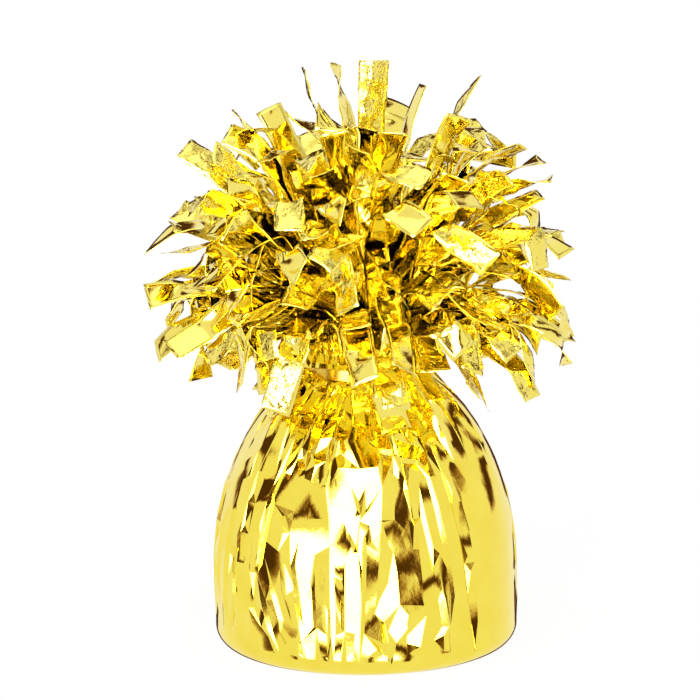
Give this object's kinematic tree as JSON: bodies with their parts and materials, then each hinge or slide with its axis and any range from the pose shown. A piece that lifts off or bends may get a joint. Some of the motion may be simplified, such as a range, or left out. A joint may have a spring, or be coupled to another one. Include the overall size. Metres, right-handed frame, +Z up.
{
  "type": "balloon weight",
  "caption": "Heavy dome wrapped in gold metallised film, gathered at the neck and cut into a standing fringe of strips, to hold down a balloon by its ribbon.",
  "frame": {"origin": "middle of the flat underside on which it stands", "axes": "+Z up from the base through the neck to the top of the fringe, -Y towards the front of the picture, +X to its right"},
  "size_m": [0.0894, 0.0886, 0.125],
  "materials": {
    "gold_film": "mirror-bright gold metallised polyester film, creased",
    "plaster": "matt cast plaster",
    "cup_plastic": "thin moulded white plastic",
    "tie_plastic": "gold plastic ribbon over a soft wire"
  },
  "bodies": {
    "root": {"fringe_crown_back": "gold_film", "fringe_crown_back_right": "gold_film", "fringe_crown_front_right": "gold_film", "fringe_crown_left": "gold_film", "fringe_hanging_back": "gold_film", "fringe_hanging_back_left": "gold_film", "fringe_hanging_back_right": "gold_film", "fringe_hanging_front": "gold_film", "fringe_hanging_front_left": "gold_film", "fringe_hanging_front_right": "gold_film", "fringe_hanging_left": "gold_film", "fringe_hanging_right": "gold_film", "fringe_lower_back": "gold_film", "fringe_lower_back_left": "gold_film", "fringe_lower_back_right": "gold_film", "fringe_lower_front": "gold_film", "fringe_lower_front_left": "gold_film", "fringe_lower_front_right": "gold_film", "fringe_lower_left": "gold_film", "fringe_lower_right": "gold_film", "fringe_middle_back": "gold_film", "fringe_middle_back_left": "gold_film", "fringe_middle_back_right": "gold_film", "fringe_middle_front": "gold_film", "fringe_middle_front_left": "gold_film", "fringe_middle_front_right": "gold_film", "fringe_middle_left": "gold_film", "fringe_middle_right": "gold_film", "fringe_upper_back": "gold_film", "fringe_upper_back_left": "gold_film", "fringe_upper_back_right": "gold_film", "fringe_upper_front": "gold_film", "fringe_upper_front_left": "gold_film", "fringe_upper_front_right": "gold_film", "fringe_upper_left": "gold_film", "fringe_upper_right": "gold_film", "plaster_fill": "plaster", "plastic_cup": "cup_plastic", "twist_tie": "tie_plastic", "wrapper_neck": "gold_film", "wrapper_skirt": "gold_film"}
  },
  "joints": []
}
